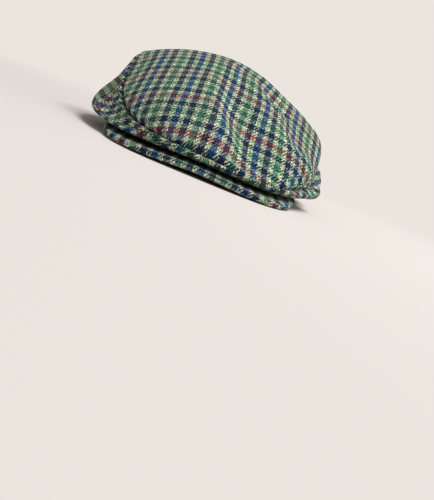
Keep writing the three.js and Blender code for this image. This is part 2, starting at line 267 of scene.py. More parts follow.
def smooth_between(knots, values, places):
    """Smooth values at places between the knots, by a cubic whose slopes are the neighbours' means."""
    knots, values = np.asarray(knots, float), np.asarray(values, float)
    places = np.atleast_1d(np.asarray(places, float))
    i = np.clip(np.searchsorted(knots, places, side="left") - 1, 1, len(knots) - 3)

    def slope(k):
        before, after = knots[k] - knots[k - 1], knots[k + 1] - knots[k]
        rise_before = (values[k] - values[k - 1]) / before
        rise_after = (values[k + 1] - values[k]) / after
        return (rise_before * after + rise_after * before) / (before + after)

    span = knots[i + 1] - knots[i]
    s = (places - knots[i]) / span
    start = (1 + 2 * s) * (1 - s) ** 2 * values[i] + s * (1 - s) ** 2 * span * slope(i)
    end = s * s * (3 - 2 * s) * values[i + 1] + s * s * (s - 1) * span * slope(i + 1)
    return start + end


def around(values, angles):
    """Values all the way round from one value for each direction."""
    knots = [DIRECTIONS[-1] - 360, *DIRECTIONS, 360, 360 + DIRECTIONS[1]]
    looped = [values[-1], *values, values[0], values[1]]
    return smooth_between(knots, looped, np.mod(angles, 360))


def ring_points(ring, angles):
    """Points of a ring in the given directions."""
    s, c = np.sin(np.radians(angles)), np.cos(np.radians(angles))
    half_width = np.where(s >= 0, ring.left, ring.right)
    depth = np.where(c >= 0, ring.widest - ring.front, ring.back - ring.widest)
    n = np.where(c >= 0, ring.square, BACK_SQUARENESS)
    reach = (np.abs(s / half_width) ** n + np.abs(c / depth) ** n) ** (-1 / n)
    return np.stack([s * reach, ring.widest - c * reach, around(ring.heights, angles)], axis=-1)


def on_curve(stations, place):
    """Points at a place along the centripetal curves through the stations."""
    k = min(int(place), len(stations) - 2)
    s = place - k
    p1, p2 = stations[k], stations[k + 1]
    p0 = stations[k - 1] if k > 0 else 2 * p1 - p2
    p3 = stations[k + 2] if k + 2 < len(stations) else 2 * p2 - p1
    d0, d1, d2 = (
        np.sqrt(np.linalg.norm(b - a, axis=-1, keepdims=True))
        for a, b in ((p0, p1), (p1, p2), (p2, p3))
    )
    t1 = ((p1 - p0) / d0 - (p2 - p0) / (d0 + d1) + (p2 - p1) / d1) * d1
    t2 = ((p2 - p1) / d1 - (p3 - p1) / (d1 + d2) + (p3 - p2) / d2) * d1
    return p1 + s * (t1 + s * (-3 * p1 + 3 * p2 - 2 * t1 - t2 + s * (2 * p1 - 2 * p2 + t1 + t2)))


def smooth_step(value, low, high):
    """Rises smoothly from 0 at the low value to 1 at the high one."""
    s = np.clip((value - low) / (high - low), 0, 1)
    return s * s * (3 - 2 * s)


def unit(vectors):
    """The vectors, each with a length of one."""
    return vectors / np.maximum(np.linalg.norm(vectors, axis=-1, keepdims=True), TINY)


def softened_line(points, per_span=8):
    """A smooth line through the points, as many short spans."""
    stations = [np.array([p], float) for p in points]
    places = np.linspace(0, len(points) - 1, per_span * (len(points) - 1) + 1)
    return np.concatenate([on_curve(stations, place) for place in places])


# ------------------------ the crown

def fold_rise(x, y):
    """How far the cloth stands out from its plain form, from all the folds."""
    total = np.zeros_like(x)
    for fold in FOLDS:
        line = softened_line([(bend.x, bend.y) for bend in fold.line])
        steps = np.linalg.norm(np.diff(line, axis=0), axis=1)
        bends = np.linspace(0, len(fold.line) - 1, len(line))
        rises = np.interp(bends, np.arange(len(fold.line)), [bend.rise for bend in fold.line])
        nearest = np.full(x.shape, np.inf)
        rise = np.zeros_like(x)
        for k, step in enumerate(steps):
            dx, dy = line[k + 1] - line[k]
            s = np.clip(((x - line[k][0]) * dx + (y - line[k][1]) * dy) / step ** 2, 0, 1)
            distance = np.hypot(x - line[k][0] - s * dx, y - line[k][1] - s * dy)
            closer = distance < nearest
            nearest = np.where(closer, distance, nearest)
            rise = np.where(closer, rises[k] + s * (rises[k + 1] - rises[k]), rise)
        total += rise * np.exp(-((nearest / fold.half_width) ** 2))
    return total


def drape_rise(angles):
    """How far a side panel stands out from its plain form, from all the drapes."""
    return sum(d.rise * np.exp(-(((angles - d.angle) / d.half_width) ** 2)) for d in DRAPES)


def grid_normals(rows, closed):
    """Outward normals of a grid of points, rows up the crown and columns round it."""
    up = np.gradient(rows, axis=0)
    if closed:
        aside = np.roll(rows, -1, axis=1) - np.roll(rows, 1, axis=1)
    else:
        aside = np.gradient(rows, axis=1)
    normals = np.cross(aside, up)
    length = np.linalg.norm(normals, axis=-1, keepdims=True)
    return np.where(length > TINY, normals / np.maximum(length, TINY), UP)


def crown(angles, places, closed):
    """The crown's outer surface and its normals: a row for each place and a column for each angle."""
    # One place more at either end gives neighbouring panels the same normals along their seam.
    places = np.array([2 * places[0] - places[1], *places, 2 * places[-1] - places[-2]])
    stations = [ring_points(ring, angles) for ring in RINGS]
    stations.append(np.tile(np.array(CROWN_TOP, float), (len(angles), 1)))
    stations.append(ring_points(RINGS[-1], angles + 180))
    rows = np.array([on_curve(stations, place) for place in places])
    normals = grid_normals(rows, closed)
    fold_share = smooth_step(places, SEAM - 1, SEAM + 1)[:, None]
    drape_share = np.sin(np.pi * np.clip((places - TUCK) / (SEAM - TUCK), 0, 1))[:, None]
    rise = fold_share * fold_rise(rows[..., 0], rows[..., 1]) + drape_share * drape_rise(angles)
    rows = rows + normals * rise[..., None]
    return rows[1:-1], grid_normals(rows, closed)[1:-1]


def lengths_along(points):
    """Length along a line from its first point, or along each column from the first row."""
    steps = np.linalg.norm(np.diff(points, axis=0), axis=-1)
    return np.concatenate([np.zeros_like(steps[:1]), np.cumsum(steps, axis=0)])


def seam_depth(angles):
    """How deep the cloth rolls in at the seam, which is less where the band below it is low."""
    band = around(RINGS[SEAM].heights, angles) - around(RINGS[UNDERSIDE].heights, angles)
    return np.minimum(SEAM_DIP, SEAM_DIP_SHARE * band)


def seam_relief(distance, depth):
    """Rise of the cloth at a distance from a seam: a groove, then a low swell over the allowance."""
    groove = -depth * np.exp(-((distance / SEAM_ROLL) ** 2))
    from_swell = (distance - SEAM_ALLOWANCE / 2) / (SEAM_ALLOWANCE / SWELL_SHARPNESS)
    return groove + SEAM_SWELL * np.exp(-(from_swell ** 2))


def cloth_faces(rows, normals, relief, from_seam, off_seam):
    """Outer and inner face of a panel, drawn off the line of its seam in the direction given."""
    rows = rows + off_seam * (EDGE_ROOM * np.exp(-from_seam / EDGE_FADE))[..., None]
    inner = rows + normals * (np.minimum(relief, 0) * INNER_DIP - CLOTH)[..., None]
    return rows + normals * relief[..., None], inner


# ------------------------ where the cloth was cut

def flatten(points, start, closed):
    """Lays a grid of points flat with as little stretch as it can, from a first flat guess."""
    rows, columns = points.shape[:2]
    index = np.arange(rows * columns).reshape(rows, columns)
    right = np.roll(index, -1, axis=1) if closed else index[:, 1:]
    left = index if closed else index[:, :-1]
    links = [(left, right), (index[:-1], index[1:]), (left[:-1], right[1:]), (left[1:], right[:-1])]
    a = np.concatenate([pair[0].ravel() for pair in links])
    b = np.concatenate([pair[1].ravel() for pair in links])
    solid, flat = points.reshape(-1, 3), start.reshape(-1, 2).copy()
    rest = np.linalg.norm(solid[a] - solid[b], axis=1)
    count = np.bincount(a, minlength=len(flat)) + np.bincount(b, minlength=len(flat))
    for _ in range(FLAT_PASSES):
        apart = flat[b] - flat[a]
        length = np.maximum(np.linalg.norm(apart, axis=1), TINY)
        pull = ((length - rest) / length / 2)[:, None] * apart
        for axis in range(2):
            sum_a = np.bincount(a, pull[:, axis], len(flat))
            sum_b = np.bincount(b, pull[:, axis], len(flat))
            flat[:, axis] += OVER_RELAXATION * (sum_a - sum_b) / count
        if closed:
            flat[-columns:] = flat[-columns:].mean(axis=0)  # the last row of a closed grid is one point
    return flat.reshape(rows, columns, 2)


def refine(grid, rows, columns, closed):
    """Smooth values of a coarse grid at fine places, given as fractions of its row and column."""
    def along(values, places):
        last = len(values) - 1
        k = np.clip(np.floor(places).astype(int), 0, last - 1)
        s = (places - k).reshape(-1, *([1] * (values.ndim - 1)))
        p1, p2 = values[k], values[k + 1]
        p0 = np.where(k.reshape(s.shape) > 0, values[np.maximum(k - 1, 0)], 2 * p1 - p2)
        p3 = np.where(k.reshape(s.shape) < last - 1, values[np.minimum(k + 2, last)], 2 * p2 - p1)
        m1, m2 = (p2 - p0) / 2, (p3 - p1) / 2
        return p1 + s * (m1 + s * (3 * (p2 - p1) - 2 * m1 - m2 + s * (m1 + m2 - 2 * (p2 - p1))))

    if closed:
        grid, columns = np.concatenate([grid[:, -2:], grid, grid[:, :3]], axis=1), columns + 2
    return np.swapaxes(along(np.swapaxes(along(grid, rows), 0, 1), columns), 0, 1)


def turned(flat, turn):
    """Flat places turned round the origin, by one angle or by one for each."""
    c, s = np.cos(turn), np.sin(turn)
    return np.stack([c * flat[..., 0] - s * flat[..., 1], s * flat[..., 0] + c * flat[..., 1]], axis=-1)


# ------------------------ meshes

def ring_faces(rows, columns):
    """Quads between neighbouring closed rows of points that are numbered row by row."""
    index = np.arange(rows * columns).reshape(rows, columns)
    after = np.roll(index, -1, axis=1)
    return np.stack([index[:-1], after[:-1], after[1:], index[1:]], axis=-1).reshape(-1, 4).tolist()


def swept_faces(sections, size):
    """Quads between neighbouring closed sections of so many points, then a face over either end."""
    index = np.arange(sections * size).reshape(sections, size)
    after = np.roll(index, -1, axis=1)
    quads = np.stack([index[:-1], index[1:], after[1:], after[:-1]], axis=-1).reshape(-1, 4)
    return [*quads.tolist(), index[0].tolist(), index[-1][::-1].tolist()]


def make_piece(name, points, faces, cloth, material, replaced, flat_faces=0):
    """A piece of the cap from points in millimetres, with its place on the cloth."""
    mesh = bpy.data.meshes.new(name)
    world = np.asarray(points) * MM + np.array(HEAD_MIDDLE)
    mesh.from_pydata(world.tolist(), [], faces)
    attribute = mesh.attributes.new(CLOTH_MAP, "FLOAT_VECTOR", "POINT")
    flat = np.concatenate([cloth, np.zeros((len(cloth), 1))], axis=1)
    attribute.data.foreach_set("vector", flat.astype(np.float32).ravel())
    mesh.polygons.foreach_set("use_smooth", [i < len(faces) - flat_faces for i in range(len(faces))])
    mesh.materials.append(material)
    mesh.update()
    if enclosed_volume(mesh) < 0:
        mesh.flip_normals()
    piece = bpy.data.objects.new(name, mesh)
    bpy.context.scene.collection.objects.link(piece)
    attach(piece, "root")
    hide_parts(replaced)
    return piece


def enclosed_volume(mesh):
    """Volume inside a closed mesh, negative if its faces point inward."""
    mesh.calc_loop_triangles()
    corners = np.empty(len(mesh.loop_triangles) * 3, np.int32)
    mesh.loop_triangles.foreach_get("vertices", corners)
    points = np.empty(len(mesh.vertices) * 3, np.float32)
    mesh.vertices.foreach_get("co", points)
    a, b, c = np.moveaxis(points.reshape(-1, 3)[corners.reshape(-1, 3)].astype(float), 1, 0)
    return float((a * np.cross(b, c)).sum() / 6)


# ------------------------ shader graphs

class Value:
    """An output in a shader graph, so that shader maths reads as an expression."""

    def __init__(self, graph, socket):
        self.graph = graph
        self.socket = socket

    def __add__(self, other):
        return self.graph.maths("ADD", self, other)

    def __sub__(self, other):
        return self.graph.maths("SUBTRACT", self, other)

    def __rsub__(self, other):
        return self.graph.maths("SUBTRACT", other, self)

    def __mul__(self, other):
        return self.graph.maths("MULTIPLY", self, other)

    def __truediv__(self, other):
        return self.graph.maths("DIVIDE", self, other)

    def __lt__(self, other):
        return self.graph.maths("LESS_THAN", self, other)

    __radd__ = __add__
    __rmul__ = __mul__

    def floor(self):
        return self.graph.maths("FLOOR", self)

    def wrapped(self, size):
        return self.graph.maths("FLOORED_MODULO", self, size)

    def power(self, exponent):
        return self.graph.maths("POWER", self, exponent)


class Graph:
    """The node tree of a material or of the world."""

    def __init__(self, owner):
        owner.use_nodes = True
        self.tree = owner.node_tree
        self.tree.nodes.clear()

    def add(self, kind, settings=None, inputs=None):
        """Adds a node with its settings, then its inputs by name or number, and returns the node."""
        node = self.tree.nodes.new(kind)
        for key, value in (settings or {}).items():
            if key == "stops":
                self.set_stops(node.color_ramp, value)
            else:
                setattr(node, key, value)
        for key, value in (inputs or {}).items():
            if isinstance(value, Value):
                self.tree.links.new(value.socket, node.inputs[key])
            else:
                node.inputs[key].default_value = value
        return node

    def out(self, node, key=0):
        return Value(self, node.outputs[key])

    def maths(self, operation, *values):
        return self.out(self.add("ShaderNodeMath", {"operation": operation}, dict(enumerate(values))))

    def mix(self, factor, a, b):
        """A colour from a to b by a factor."""
        node = self.add("ShaderNodeMix", {"data_type": "RGBA"}, {0: factor, 6: a, 7: b})
        return self.out(node, 2)

    def vector(self, operation, *values):
        node = self.add("ShaderNodeVectorMath", {"operation": operation}, dict(enumerate(values)))
        return self.out(node)

    def scaled(self, vector, factor):
        """A colour or vector times a number."""
        node = self.add("ShaderNodeVectorMath", {"operation": "SCALE"}, {"Vector": vector, "Scale": factor})
        return self.out(node)

    def noise(self, vector, scale, detail, output="Fac"):
        """Noise from 0 to 1 over the cloth."""
        settings = {"noise_dimensions": "2D"}
        inputs = {"Vector": vector, "Scale": scale, "Detail": detail}
        return self.out(self.add("ShaderNodeTexNoise", settings, inputs), output)

    def chance(self, number):
        """A random value from 0 to 1 for each whole number."""
        return self.out(self.add("ShaderNodeTexWhiteNoise", {"noise_dimensions": "1D"}, {"W": number}))

    @staticmethod
    def set_stops(ramp, stops):
        ramp.interpolation = "CONSTANT"
        while len(ramp.elements) < len(stops):
            ramp.elements.new(1.0)
        for element, (position, colour) in zip(ramp.elements, stops):
            element.position = position
            element.color = colour


def stripes(colours, dyed_threads, ground_threads):
    """Stops of a ramp over one repeat, with a run of ground threads after each dyed stripe."""
    threads = (dyed_threads, ground_threads) * (len(colours) // 2)
    starts = np.concatenate([[0], np.cumsum(threads)[:-1]]) / sum(threads)
    return [(float(start), (*colour, 1.0)) for start, colour in zip(starts, colours)]


def check_wool(cloth):
    """A 2/2 twill in a gun club check: coloured stripes of warp and weft on a cream ground."""
    material = bpy.data.materials.new("Check wool")
    graph = Graph(material)
    warp_threads = STRIPES * (cloth.warp_dyed + cloth.warp_ground)
    weft_threads = STRIPES * (cloth.weft_dyed + cloth.weft_ground)
    place = graph.out(graph.add("ShaderNodeAttribute", {"attribute_name": CLOTH_MAP}), "Vector")
    threads = graph.vector("MULTIPLY", place, (warp_threads, weft_threads, 1.0))
    ragged = graph.noise(threads, cloth.wander_scale, 1.0, "Color")
    shift = graph.vector("SUBTRACT", ragged, (0.5, 0.5, 0.5))
    moved = graph.vector("MULTIPLY_ADD", shift, (cloth.wander, cloth.wander, 0.0), threads)
    split = graph.add("ShaderNodeSeparateXYZ", None, {"Vector": moved})
    x, y = graph.out(split, "X"), graph.out(split, "Y")
    warp, weft = x.floor(), y.floor()
    across_warp, across_weft = x - warp, y - weft

    # The twill: each thread floats over two and under two, one step on for each next thread.
    order = (warp - weft).wrapped(TWILL)
    warp_floats = order < 1.5
    weft_floats = 1 - warp_floats
    across = across_warp * warp_floats + across_weft * weft_floats
    along = ((1 - order + across_weft) * warp_floats + (order - 2 + across_warp) * weft_floats) * 0.5
    # Height of each float, highest at its middle. Besides the weave's bump it feeds the shade below, which
    # darkens the colour as painted shade between threads and on the lower weft floats.
    from_middle = (across * 2 - 1).power(2) + (along * 2 - 1).power(2)
    weft_shows = weft_floats * (from_middle < cloth.weft_cover)
    warp_shows = 1 - weft_shows
    height = (1 - from_middle * 0.5) * (1 - weft_shows * cloth.weft_depth_and_shade)

    ground = tuple(cloth.ground)
    warp_stripes = (cloth.blue, ground, cloth.navy, ground, cloth.green, ground, cloth.navy, ground)
    weft_stripes = (cloth.maroon, ground, cloth.navy, ground, cloth.green, ground, cloth.navy, ground)
    sides = []
    for thread, colours, dyed, plain in (
        (warp, warp_stripes, cloth.warp_dyed, cloth.warp_ground),
        (weft, weft_stripes, cloth.weft_dyed, cloth.weft_ground),
    ):
        share = ((thread + 0.5 + dyed // 2) / (STRIPES * (dyed + plain))).wrapped(1.0)
        ramp = graph.add("ShaderNodeValToRGB", {"stops": stripes(colours, dyed, plain)}, {"Fac": share})
        tone = 1 + (graph.chance(thread) - 0.5) * cloth.thread_tone
        sides.append(graph.scaled(graph.out(ramp), tone))
    shown = graph.mix(warp_shows, sides[1], sides[0])
    hidden = graph.mix(warp_shows, sides[0], sides[1])

    # Wool lets some light through, so a pale thread is darker over a dark one.
    through = graph.vector("DIVIDE", hidden, ground)
    dyed = graph.vector("MULTIPLY", shown, graph.mix(cloth.see_through, (1.0, 1.0, 1.0, 1.0), through))

    fibres = graph.noise(threads, FIBRE_SCALE, FIBRE_DETAIL)
    slubs = graph.noise(threads, cloth.slub_scale, 2.0)
    mottle = graph.noise(threads, MOTTLE_SCALE, 2.0)
    tone = (1 + (fibres - 0.5) * cloth.fibre_tone) * (slubs * 2).power(cloth.slub_tone)
    tone = tone * (1 + (mottle - 0.5) * cloth.mottle_tone)
    # Painted shade: the colour is darkened between the threads, at the edges of the floats and on the lower
    # weft floats.
    shade = (1 - cloth.valley_shade) + height * cloth.valley_shade

    # The dye took unevenly, so the wool runs from yellowish to bluish.
    aside = graph.vector("ADD", threads, DYE_ASIDE)
    uneven = (graph.noise(aside, cloth.slub_scale, 1.0) - 0.5) * cloth.dye_tone + 0.5
    tint = graph.mix(uneven, (*cloth.warm_tint, 1.0), (*cloth.cool_tint, 1.0))
    wool = graph.vector("MULTIPLY", dyed, tint)

    relief = height + (fibres - 0.5) * FIBRE_RELIEF
    bump = graph.add("ShaderNodeBump", None, {
        "Strength": cloth.bump, "Distance": cloth.thread_relief * MM, "Height": relief})
    shader = graph.add("ShaderNodeBsdfPrincipled", None, {
        "Base Color": graph.scaled(wool, tone * shade), "Roughness": WOOL_ROUGHNESS,
        "Specular IOR Level": WOOL_SPECULAR, "Sheen Weight": cloth.sheen,
        "Sheen Roughness": SHEEN_ROUGHNESS, "Sheen Tint": (*ground, 1.0), "Normal": graph.out(bump)})
    graph.add("ShaderNodeOutputMaterial", None, {"Surface": graph.out(shader)})
    return material


def wool_of(context):
    """The cap's one cloth, made once."""
    return bpy.data.materials.get("Check wool") or check_wool(context.scene.flat_cap_cloth)


# ------------------------ settings

def colour(name, default, description):
    return FloatVectorProperty(name=name, default=default, description=description, size=3,
                               subtype="COLOR", min=0.0, max=1.0)


def number(name, default, description, unit="NONE"):
    return FloatProperty(name=name, default=default, description=description, unit=unit)


def thread_count(name, default, description):
    return IntProperty(name=name, default=default, description=description)


class FlatCapCloth(bpy.types.PropertyGroup):
    """The wool's colours, weave and surface."""

    ground: colour("Ground", (0.76, 0.88, 0.65), "Cream threads between the stripes")
    navy: colour("Navy", (0.034, 0.070, 0.165), "Dark stripes of warp and weft")
    blue: colour("Blue", (0.013, 0.126, 0.375), "Every fourth stripe of the warp")
    green: colour("Green", (0.105, 0.34, 0.235), "Green stripes of warp and weft")
    maroon: colour("Maroon", (0.50, 0.12, 0.185), "Every fourth stripe of the weft")
    warm_tint: colour("Warm tint", (1.0, 0.94, 0.66), "Tint where the dye took yellowish")
    cool_tint: colour("Cool tint", (0.80, 0.86, 1.0), "Tint where the dye took bluish")
    warp_dyed: thread_count("Dyed warp threads", 7, "Threads in a dyed stripe")
    warp_ground: thread_count("Cream warp threads", 6, "Threads between stripes")
    weft_dyed: thread_count("Dyed weft threads", 6, "Threads in a dyed stripe")
    weft_ground: thread_count("Cream weft threads", 5, "Threads between stripes")
    warp_repeat: number("Warp repeat", 0.036, "Width of one repeat across the warp", "LENGTH")
    weft_repeat: number("Weft repeat", 0.0395, "Length of one repeat along the warp", "LENGTH")
    see_through: number("See through", 0.42, "How much a thread takes on of the one that it covers")
    weft_cover: number("Weft cover", 1.42, "How much of a weft thread's float shows between the warp")
    # Besides the bump, this darkens the weft floats' colour as painted shade.
    weft_depth_and_shade: number("Weft depth", 0.4, "How much lower the weft's floats lie than the warp's")
    wander: number("Wander", 0.3, "How ragged the threads' edges are")
    wander_scale: number("Wander scale", 0.6, "Fineness of the raggedness")
    thread_tone: number("Thread tone", 0.35, "Difference between threads")
    fibre_tone: number("Fibre tone", 1.1, "Difference between fibres")
    slub_tone: number("Slub tone", 2.6, "Thick and thin places in threads")
    slub_scale: number("Slub scale", 0.62, "Fineness of the slubs")
    dye_tone: number("Dye tone", 3.0, "Difference between tints of the dye")
    mottle_tone: number("Mottle", 0.25, "Slow change of tone")
    # Painted shade: darkens the colour between threads and at the edges of the floats.
    valley_shade: number("Valley shade", 1.0, "Dark between threads")
    bump: number("Weave strength", 0.7, "Strength of the weave's relief")
    thread_relief: number("Thread relief", 0.3, "Height of a thread over the valleys in millimetres")
    sheen: number("Sheen", 0.05, "Soft light on the raised fibres")


class FlatCapStage(bpy.types.PropertyGroup):
    """The floor, the light and the camera."""

    backdrop: colour("Backdrop", (0.835, 0.785, 0.735), "Colour of the backdrop and the far floor")
    floor: colour("Floor", (0.70, 0.66, 0.63), "Colour of the floor near the cap")
    room_light: number("Room light", 0.41, "Light from all round")
    key_power: number("Key light", 62.0, "Power of the large soft light above", "POWER")
    fill_power: number("Fill light", 2.6, "Power of the soft light in front", "POWER")
    camera_distance: number("Camera distance", 0.6, "Distance in front of the middle of the head", "LENGTH")
    camera_height: number("Camera height", 0.05, "Height of the camera over the floor", "LENGTH")
    camera_yaw: number("Camera yaw", math.radians(4.48), "Turn of the camera to the right", "ROTATION")
    camera_pitch: number("Camera pitch", math.radians(11.26), "Turn of the camera down", "ROTATION")
    camera_roll: number("Camera roll", math.radians(23),
                        "Roll of the camera, which shows the cap at a rakish tilt", "ROTATION")
    lens: number("Lens", 46.08, "Focal length for a 36 mm sensor")


# ------------------------ cloth coordinates

def top_flat(angles, places):
    """The top panel laid flat round its highest point: x aside and y back."""
    coarse_places = np.concatenate([
        np.linspace(SEAM, POLE - 1, TOP_FLAT_ROWS), np.linspace(POLE - 1, POLE, POLE_FLAT_ROWS)[1:]])
    coarse_angles = np.arange(FLAT_COLUMNS) * 360 / FLAT_COLUMNS
    coarse, _ = crown(coarse_angles, coarse_places, True)
    lengths = lengths_along(coarse[::-1])[::-1]
    outward = coarse[0] - coarse[-1]
    bearing = np.arctan2(outward[:, 0], -outward[:, 1])
    start = lengths[..., None] * np.stack([np.sin(bearing), -np.cos(bearing)], axis=-1)
    flat = flatten(coarse, start, True)
    front = flat[0, 0] - flat[-1, 0]
    flat = turned(flat - flat[-1, 0], -math.atan2(front[0], -front[1]))
    rows = np.interp(places, coarse_places, np.arange(len(coarse_places)))
    return refine(flat, rows, angles / 360 * FLAT_COLUMNS, True)


def top_check(flat):
    """Repeats of the check at places of the flat top panel."""
    aside, back = flat[:, 0].copy(), flat[:, 1].copy()
    for pull in PULLS:
        away = np.hypot(flat[:, 0] - pull.aside, flat[:, 1] - pull.back)
        share = np.exp(-((away / pull.reach) ** 2))
        aside += pull.across * share
        back += pull.along * share
    wefts = smooth_between(*zip(*WEFT_PLACES), back)
    return np.stack([(aside - TOP_WARP_START) / TOP_WARP_REPEAT, wefts], axis=-1)


def side_flat(places, angles, side, lengths):
    """A side panel laid flat: x along it from the front to the back, y up from the bulge to the seam."""
    coarse_places = np.linspace(SIDE_FLAT_FOOT, SEAM, SIDE_FLAT_ROWS)
    coarse_angles = np.linspace(0, 180, FLAT_COLUMNS // 2 + 1)
    coarse, _ = crown(coarse_angles * side, coarse_places, False)
    run = lengths_along(coarse[-1])
    radius = run[-1] / SIDE_FLAT_BEND
    bearing = (run / run[-1] - 0.5) * SIDE_FLAT_BEND
    reach = radius + lengths_along(coarse[::-1])[::-1]
    start = np.stack([np.sin(bearing) * reach, radius - np.cos(bearing) * reach], axis=-1)
    rows = np.interp(places, coarse_places, np.arange(len(coarse_places)))
    flat = refine(flatten(coarse, start, False), rows, angles / 180 * (len(coarse_angles) - 1), False)
    # Under the bulge the rows go straight on down.
    first = int(np.searchsorted(places, SIDE_FLAT_FOOT))
    step = unit(flat[first + 1] - flat[first])
    flat[:first] = flat[first] - step * (lengths[first] - lengths[:first])[..., None]
    return flat


def side_grain(flat, side):
    """A flat side panel turned step by step along its seam, so that the cloth's warp is upright."""
    seam = flat[-1]
    turn = np.radians(np.interp(seam[:, 0], *zip(*GRAIN_TURNS)))
    steps = turned(np.diff(seam, axis=0), (turn[1:] + turn[:-1]) / 2)
    laid = seam[0] + np.concatenate([[(0, 0)], np.cumsum(steps, axis=0)])
    return (laid + turned(flat - seam, turn)) * (side, 1)


def declare_sheet(flat):
    """Works out the area that a panel was cut to, which is then not kept."""
    def doubled(p, q):
        return np.abs(p[..., 0] * q[..., 1] - p[..., 1] * q[..., 0])

    a, b, c, d = flat[:-1, :-1], flat[:-1, 1:], flat[1:, 1:], flat[1:, :-1]
    area = float((doubled(b - a, c - a) + doubled(c - a, d - a)).sum() / 2) * MM * MM


def swept_piece(context, name, node, section, laid, warp_start, weft_start):
    """A piece from the rows of its closed section, their flat places and the middle of two stripes."""
    cloth = context.scene.flat_cap_cloth
    points, laid = np.swapaxes(section, 0, 1), np.swapaxes(laid, 0, 1).reshape(-1, 2)
    repeats = (laid - (warp_start, weft_start)) / (cloth.warp_repeat / MM, cloth.weft_repeat / MM)
    return make_piece(name, points.reshape(-1, 3), swept_faces(*points.shape[:2]), repeats,
                      wool_of(context), node, 2)


# ------------------------ pieces

class FlatCapTopPanel(bpy.types.Operator):
    """Builds the one oval panel over the top of the cap"""

    bl_idname = "flat_cap.top_panel"
    bl_label = "Top panel"

    def execute(self, context):
        crowded = np.linspace(0, 1, TOP_SEAM_ROWS) ** TOP_SEAM_CROWDING * TOP_SEAM_BAND
        places = np.concatenate([SEAM + crowded, np.linspace(SEAM + TOP_SEAM_BAND, POLE, TOP_ROWS)[1:]])
        angles = np.arange(TOP_COLUMNS) * 360 / TOP_COLUMNS
        rows, normals = crown(angles, places, True)
        flat = top_flat(angles, places)
        from_seam = lengths_along(rows)
        relief = seam_relief(from_seam, seam_depth(angles))
        outer, inner = cloth_faces(rows, normals, relief, from_seam, unit(rows[1] - rows[0]))

        # Closed rows from the top of the inner face down and up the outer face, and a point at either end.
        section = np.concatenate([inner[:-1][::-1], outer[:-1]])
        points = np.concatenate([section.reshape(-1, 3), [inner[-1, 0], outer[-1, 0]]])
        laid = np.concatenate([flat[:-1][::-1], flat[:-1]]).reshape(-1, 2)
        laid = np.concatenate([laid, flat[-1, :1], flat[-1, :1]])
        faces = ring_faces(len(section), TOP_COLUMNS)
        first = np.arange(TOP_COLUMNS)
        last = first + (len(section) - 1) * TOP_COLUMNS
        ends = (np.roll(first, -1), first, len(points) - 2), (last, np.roll(last, -1), len(points) - 1)
        for a, b, end in ends:
            faces += np.stack([a, b, np.full(TOP_COLUMNS, end)], axis=-1).tolist()
        piece = make_piece("TopPanel", points, faces, top_check(laid), wool_of(context), "top_panel")
        declare_sheet(flat)
        return {"FINISHED"}


def side_section(angles, side):
    """Places of a side panel's rows from its foot to the seam, the rows and their outward normals."""
    places = np.concatenate([
        np.linspace(SIDE_FOOT, UNDERSIDE, SIDE_FOOT_ROWS)[:-1],
        np.linspace(UNDERSIDE, SEAM - SIDE_SEAM_BAND, SIDE_ROWS)[:-1],
        SEAM - SIDE_SEAM_BAND * np.linspace(1, 0, SIDE_SEAM_ROWS) ** SIDE_SEAM_CROWDING,
    ])
    rows, normals = crown(angles * side, places, False)
    return places, rows, normals * side


def rim_rows(angles):
    """Rows of the rounded edge that stands on the ground and of the hem that turns up inside it."""
    foot, heel = ring_points(RINGS[RIM], angles), ring_points(RINGS[RIM_INSIDE], angles)
    middle, inwards = (foot + heel) / 2, unit(heel - foot)
    radius = np.linalg.norm(heel - foot, axis=-1, keepdims=True) / 2
    turns = math.pi * np.arange(RIM_ROUND_STEPS + 1) / RIM_ROUND_STEPS
    edge = [middle - inwards * radius * math.cos(turn) + UP * radius * (1 - math.sin(turn)) for turn in turns]
    hem = [heel - inwards * HEM_LEAN * share + UP * (HEM_FOOT + (HEM_HEIGHT - HEM_FOOT) * share)
           for share in HEM_SHARES]
    return [*edge, *hem, foot + UP * HEM_HEIGHT]


class FlatCapSidePanels(bpy.types.Operator):
    """Builds the two side panels that bulge over the rim, with the turned hem inside"""

    bl_idname = "flat_cap.side_panels"
    bl_label = "Side panels"

    def execute(self, context):
        for check in SIDE_CHECKS:
            self.panel(context, check)
        return {"FINISHED"}

    def panel(self, context, check):
        angles = np.linspace(0, 180, SIDE_COLUMNS + 1)
        places, rows, normals = side_section(angles, check.side)
        lengths = lengths_along(rows)
        flat = side_flat(places, angles, check.side, lengths)
        to_seam = lengths[-1] - lengths
        run = lengths_along(rows[BACK_ROW])
        to_back = np.broadcast_to(run[-1] - run, to_seam.shape)
        relief = seam_relief(to_seam, seam_depth(angles * check.side)) + seam_relief(to_back, SEAM_DIP)
        relief *= smooth_step(places, TUCK - 0.5, TUCK + 0.5)[:, None]  # none near the rim
        outer, inner = cloth_faces(rows, normals, relief, to_seam, unit(rows[-2] - rows[-1]))

        rim = rim_rows(angles * check.side)
        section = np.array([*outer[::-1], *rim, *inner])
        section[..., 0] = np.maximum(section[..., 0] * check.side, SEAM_GAP / 2) * check.side
        grain = side_grain(flat, check.side)
        laid = [*grain[::-1], *[grain[0]] * len(rim), *grain]
        piece = swept_piece(context, check.name, check.node, section, laid,
                            check.warp_start, check.weft_start)
        declare_sheet(flat)


